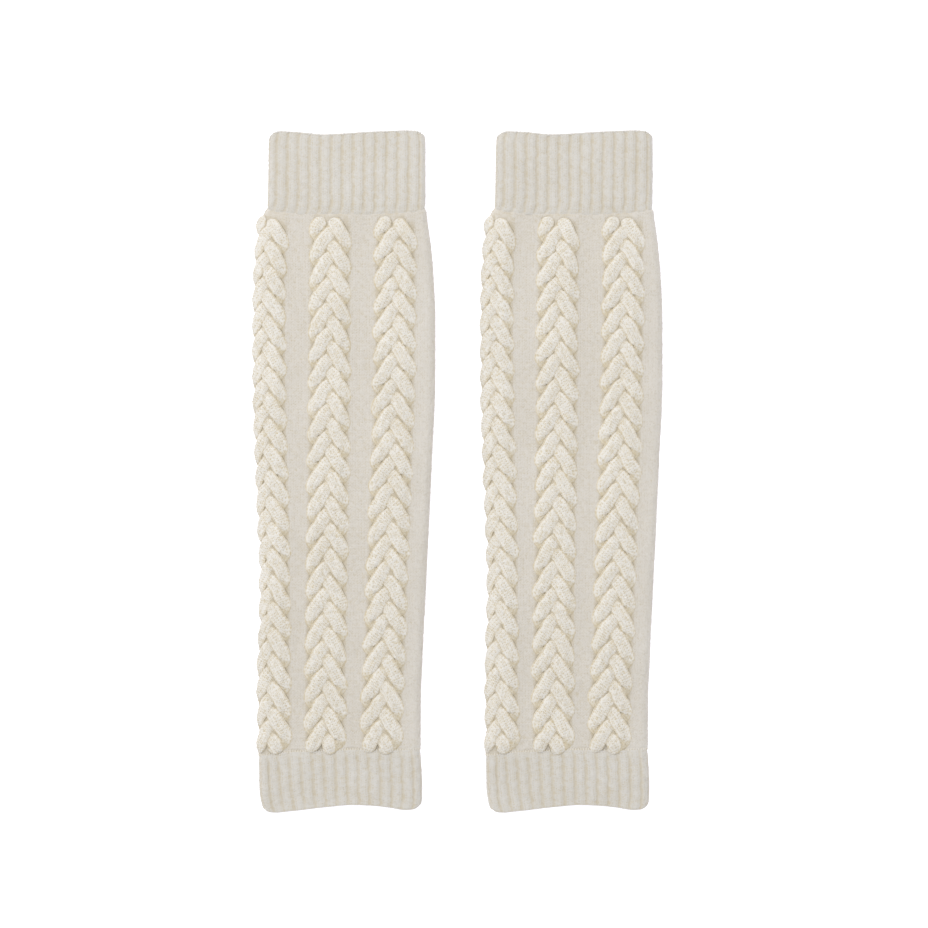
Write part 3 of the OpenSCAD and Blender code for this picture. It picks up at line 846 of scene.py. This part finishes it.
def loop_row(name, side, seed, y_of, top, pitch, size, tilt, depth, mat, core=0.5, bead_shade=0.25, back_drop=0.0, y_ref=0.0, alt=0.0):
    """A closed row of yarn loops round the tube: y_of(share of width) gives its line, size is length, width, height."""
    rng = np.random.default_rng(int(700 + seed * 3 + abs(y_ref)))
    r = top / 2
    xl, xr = [float(a) for a in edges(np.array(float(y_ref)))]
    f = (xr - xl) / 2 - r
    P = 4 * f + 2 * math.pi * r
    n = int(round(P / pitch))
    bv, bq, bt = bead()
    V, Q, TR, C, K = [], [], [], [], []
    off = 0
    for k in range(n):
        s = (k / n - 0.5) * P
        xm, zm = tube(np.array(float(y_ref)), np.array(s), 0.0, top)
        fx = float(np.clip((xm - xl) / (xr - xl), 0, 1))
        back = float(smooth(r * 1.1, r * 0.6, zm))
        yc = float(y_of(fx)) - back_drop * back
        a = math.radians(tilt + rng.normal(0, 4)) * (1 if not alt or k % 2 == 0 else -1)
        sz = np.array(size) * (1 + rng.normal(0, 0.05, 3))
        p = bv * sz / 2
        du = p[:, 0] * math.cos(a) - p[:, 1] * math.sin(a)
        dy = p[:, 0] * math.sin(a) + p[:, 1] * math.cos(a)
        nn = p[:, 2] + depth
        x, z = tube(yc + dy, s + du, nn, top)
        x, y, z = warp(x, yc + dy, z, seed)
        V.append(np.stack([x, y, z], -1))
        Q.append(bq + off); TR.append(bt + off)
        # painted shade: each loop darker underneath and towards its two ends, over an even base amount
        C.append(bead_shade + 0.45 * np.clip(-p[:, 2] / sz[2] * 2, -0.3, 1) + 0.25 * np.abs(bv[:, 0]) ** 3)
        K.append(np.stack([s + du, dy * 2 + k, nn], -1))
        off += len(bv)
    if core > 0:
        m, nu = 220, 8
        s = (np.arange(m) / m - 0.5) * P
        xm, zm = tube(np.full(m, float(y_ref)), s, 0.0, top)
        fx = np.clip((xm - xl) / (xr - xl), 0, 1)
        yc = y_of(fx) - back_drop * smooth(r * 1.1, r * 0.6, zm)
        b = np.arange(nu) / nu * 2 * math.pi
        yy = yc[:, None] + core * 1.15 * np.cos(b)[None, :]
        nn = depth - core * 0.5 + core * 0.85 * np.sin(b)[None, :] + 0 * yy
        x, z = tube(yy, s[:, None] + 0 * yy, nn, top)
        x, y, z = warp(x, yy, z, seed)
        V.append(np.stack([x, y, z], -1).reshape(-1, 3))
        qq = quads(m, nu, True, True)
        if volume(V[-1], qq, np.zeros((0, 3), int)) < 0:
            qq = qq[:, ::-1]
        Q.append(qq + off)
        # the core yarn behind the loops is painted in shade
        C.append(np.full(m * nu, 0.62))
        K.append(np.stack([np.repeat(s, nu), np.tile(b, m), np.zeros(m * nu)], -1))
    # beads and core face outward on their own
    v = np.concatenate(V)
    v[:, 0] += CX[side]
    t = np.concatenate(TR)
    q = np.concatenate(Q)
    b0 = V[0]
    if volume(b0, bq, bt) < 0:
        nb = n * len(bq)
        q[:nb] = q[:nb][:, ::-1]
        t = t[:, ::-1]
    return build(name, v, q, t, np.concatenate(C), np.concatenate(K), mat)


def seam(side, which, seed):
    """A seam ridge inside one side of the tube, from join to join, with its ladder of bars."""
    left = which == "edge"
    m, nu = 420, 10
    y = np.linspace(-153.5, 141.5, m)
    xl, xr = edges(y)
    b = np.arange(nu) / nu * 2 * math.pi
    beat = 1 + 0.22 * np.abs(np.sin(math.pi * y / 2.9))[:, None]
    cx = (xl + PANEL_T + 0.95) if left else (xr - PANEL_T - 0.95)
    x = cx[:, None] + 0.62 * beat * np.cos(b)[None, :]
    z = 4.3 + 0.92 * beat * np.sin(b)[None, :]
    yy = y[:, None] + 0 * x
    x, yy, z = warp(x, yy, z, seed)
    v = np.stack([x, yy, z], -1).reshape(-1, 3)
    q = quads(m, nu, False, True)
    t = []
    for r0, flip in ((0, True), (m - 1, False)):
        for j in range(1, nu - 1):
            f = [r0 * nu, r0 * nu + j, r0 * nu + j + 1]
            t.append(f[::-1] if flip else f)
    v[:, 0] += CX[side]
    # painted shade, darker where the ridge narrows between its bars
    cavity_shade = np.broadcast_to(0.7 - 0.4 * (beat - 1) / 0.22, (m, nu)).ravel()
    kn = np.stack([np.tile(b, m) * 0.7, np.repeat(y, nu), np.zeros(m * nu)], -1)
    return build(side + "_" + which + "_seam_ridge", v, q, t, cavity_shade, kn, LINK)


# ---------------------------------------------------------------- assemble
for gi, side in enumerate(("left", "right")):
    seed = 1.0 + gi * 2.0
    tube_b, up_b, low_b = side + "_tube", side + "_upper_cuff_body", side + "_lower_cuff_body"

    p = front_panel(side, seed)
    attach(p, tube_b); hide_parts(side + "_front_panel")

    p = back_panel(side, seed)
    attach(p, tube_b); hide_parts(side + "_back_panel")

    for name in ("edge_plait", "centre_plait", "band_plait"):
        p = plait(side, name, seed)
        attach(p, tube_b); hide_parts(side + "_" + name)

    for which in ("edge", "band"):
        p = seam(side, which, seed)
        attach(p, tube_b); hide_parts(side + "_" + which + "_seam")

    p = cuff(side, True, seed)
    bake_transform(p)
    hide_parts(side + "_upper_cuff")

    p = cuff(side, False, seed)
    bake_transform(p)
    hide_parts(side + "_lower_cuff")

    p = hem_facing(side, seed)
    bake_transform(p)
    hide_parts(side + "_hem_facing")

    p = loop_row(side + "_bind_off_chain", side, seed, lambda fx: upper_edge(fx) - 0.55, H_CUFF, 2.05, (2.7, 1.25, 1.7), 12, -1.0, RIBK,
                 core=0.55, bead_shade=0.12, back_drop=0.9, y_ref=186.5)
    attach(p, up_b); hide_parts(side + "_bind_off")

    p = loop_row(side + "_upper_link_row", side, seed, lambda fx: upper_join(fx) + 0.5, H, 1.95, (1.95, 3.0, 0.9), 6, -1.55, LINK,
                 core=0.45, bead_shade=0.10, y_ref=143.0)
    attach(p, tube_b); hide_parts(side + "_upper_linking")

    p = loop_row(side + "_lower_link_row", side, seed, lambda fx: lower_join(fx) + 0.3, H, 1.46, (1.05, 2.0, 1.3), -8, -0.52, LINK,
                 core=0.5, bead_shade=0.30, y_ref=-156.0)
    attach(p, tube_b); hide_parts(side + "_lower_linking")

# ---------------------------------------------------------------- floor, light and camera
bm_v = [(-3, -3, 0), (3, -3, 0), (3, 3, 0), (-3, 3, 0)]
me = bpy.data.meshes.new("floor")
me.from_pydata(bm_v, [], [(0, 1, 2, 3)])
floor = bpy.data.objects.new("floor", me)
bpy.context.scene.collection.objects.link(floor)
fm = bpy.data.materials.new("floor_paper")
fm.use_nodes = True
fp = fm.node_tree.nodes["Principled BSDF"]
fp.inputs["Base Color"].default_value = (0.90, 0.90, 0.94, 1)
fp.inputs["Roughness"].default_value = 0.9
fp.inputs["Specular IOR Level"].default_value = 0.1
fp.inputs["Emission Color"].default_value = (0.93, 0.94, 1.0, 1)
fp.inputs["Emission Strength"].default_value = 0.54
me.materials.append(fm)

scene = bpy.context.scene
scene.view_settings.view_transform = "Standard"
scene.view_settings.look = "None"
w = bpy.data.worlds.new("studio")
scene.world = w
w.use_nodes = True
w.node_tree.nodes["Background"].inputs["Color"].default_value = (0.972, 0.977, 1.0, 1)
w.node_tree.nodes["Background"].inputs["Strength"].default_value = 0.84


def softbox(name, place, size, power, color):
    l = bpy.data.lights.new(name, "AREA")
    l.shape = "DISK"
    l.size = size
    l.energy = power
    l.color = color
    o = bpy.data.objects.new(name, l)
    o.location = place
    o.rotation_euler = Vector(place).to_track_quat("Z", "Y").to_euler()
    scene.collection.objects.link(o)
    return o


softbox("key", (-0.6, 0.9, 1.6), 1.2, 13.5, (1.0, 0.988, 0.966))

lo, hi = CAD_BOX
cxm, cym = (lo[0] + hi[0]) / 2, (lo[1] + hi[1]) / 2
cam_d = bpy.data.cameras.new("camera")
cam_d.lens = 85
cam_d.sensor_width = 36
cam_d.sensor_fit = "HORIZONTAL"
cam = bpy.data.objects.new("camera", cam_d)
scene.collection.objects.link(cam)
cam.location = (cxm + 0.0046, cym + 0.0040, 0.009 + 0.5148 * 85 / 36)
cam.rotation_euler = (0, 0, 0)
cam_d.clip_start = 0.01
cam_d.clip_end = 20
scene.camera = cam
